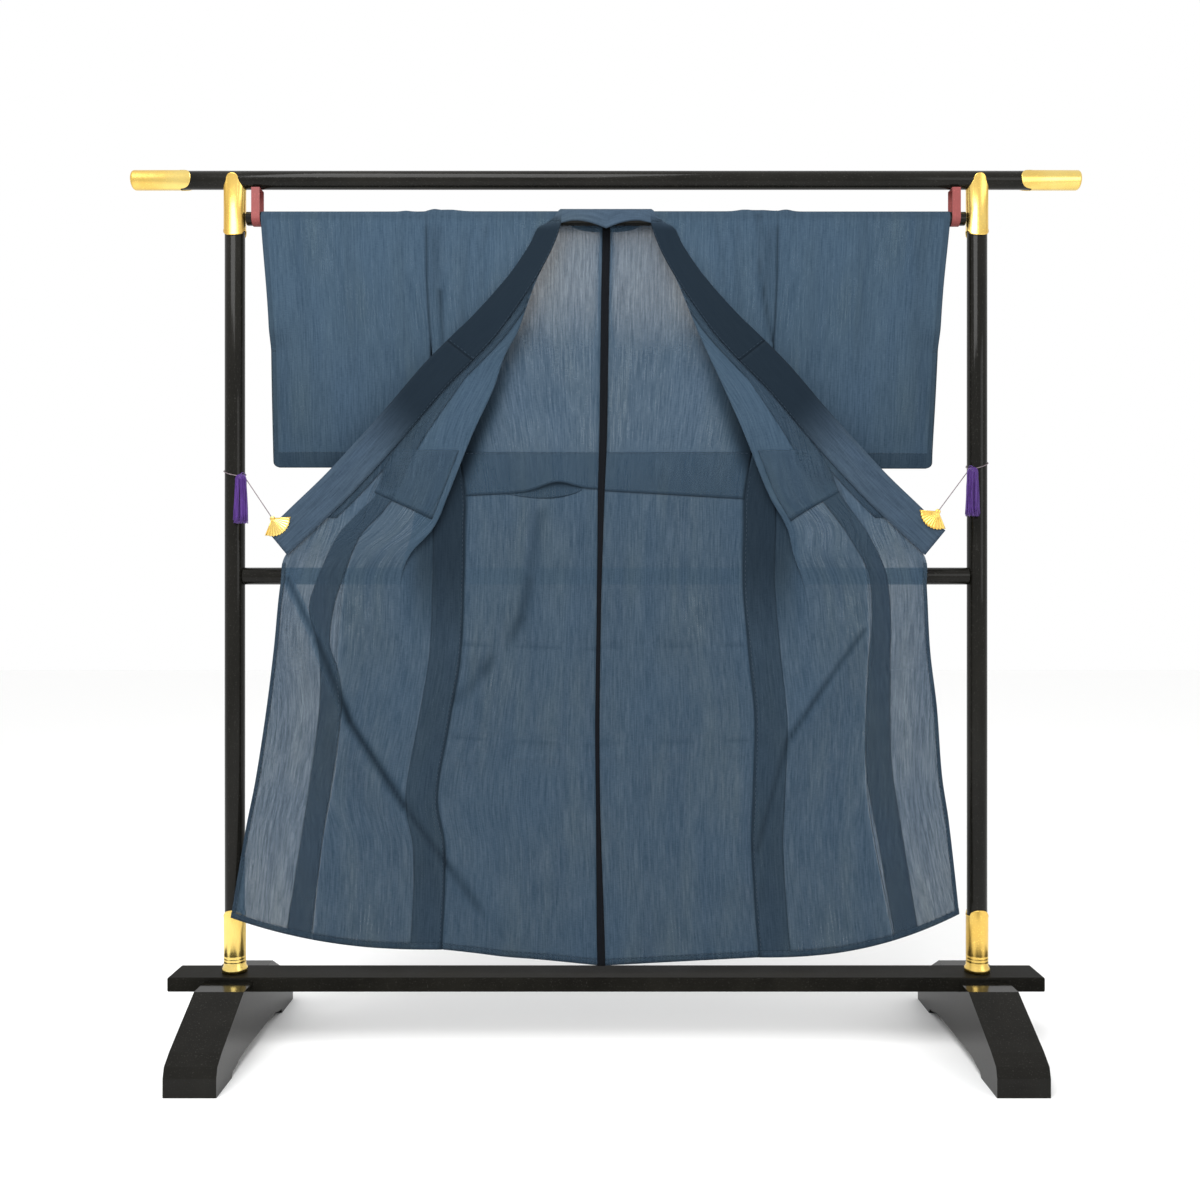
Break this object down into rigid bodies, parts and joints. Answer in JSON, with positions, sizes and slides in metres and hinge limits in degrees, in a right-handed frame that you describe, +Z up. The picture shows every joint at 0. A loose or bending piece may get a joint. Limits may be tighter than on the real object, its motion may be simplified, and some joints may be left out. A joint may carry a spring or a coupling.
{
  "type": "kimono on a kimono rack",
  "caption": "Sheer summer kimono hung open over the inner rod of a lacquered rack with gold fittings, its fronts spread by fan-shaped clips tied to the posts.",
  "frame": {"origin": "on the floor, under the middle of the rack", "axes": "+Z up, -Y towards the viewer of the open front, +X along the rails to the right seen from the front"},
  "size_m": [1.82, 0.5, 1.6777],
  "materials": {
    "sheer cloth": "sheer indigo hemp-like weave with a fine slubbed upright stripe",
    "tuck cloth": "the same weave in layers",
    "collar cloth": "the same weave in several layers, nearly opaque",
    "seam tape": "matt woven tape",
    "lacquer": "glossy black lacquer on wood",
    "gold": "bright gilt brass",
    "strap": "red woven band",
    "cord": "thin pale twisted cord",
    "tassel": "glossy purple silk threads"
  },
  "bodies": {
    "root": {"back_left": "sheer cloth", "back_right": "sheer cloth", "back_seam_tape": "seam tape", "back_tuck_left": "tuck cloth", "back_tuck_right": "tuck cloth", "base_ferrule_left": "gold", "base_ferrule_right": "gold", "base_rail": "lacquer", "clip_cord_left": "cord", "clip_cord_right": "cord", "clip_left": "gold", "clip_right": "gold", "collar_left": "collar cloth", "collar_right": "collar cloth", "cross_rail": "lacquer", "foot_left": "lacquer", "foot_right": "lacquer", "front_left": "sheer cloth", "front_right": "sheer cloth", "front_tuck_left": "tuck cloth", "front_tuck_right": "tuck cloth", "inner_rod": "lacquer", "okumi_left": "sheer cloth", "okumi_right": "sheer cloth", "over_collar": "collar cloth", "post_left": "lacquer", "post_right": "lacquer", "rail_cap_left": "gold", "rail_cap_right": "gold", "sleeve_left": "sheer cloth", "sleeve_right": "sheer cloth", "strap_left": "strap", "strap_right": "strap", "tassel_left": "tassel", "tassel_right": "tassel", "top_ferrule_left": "gold", "top_ferrule_right": "gold", "top_rail": "lacquer"}
  },
  "joints": []
}
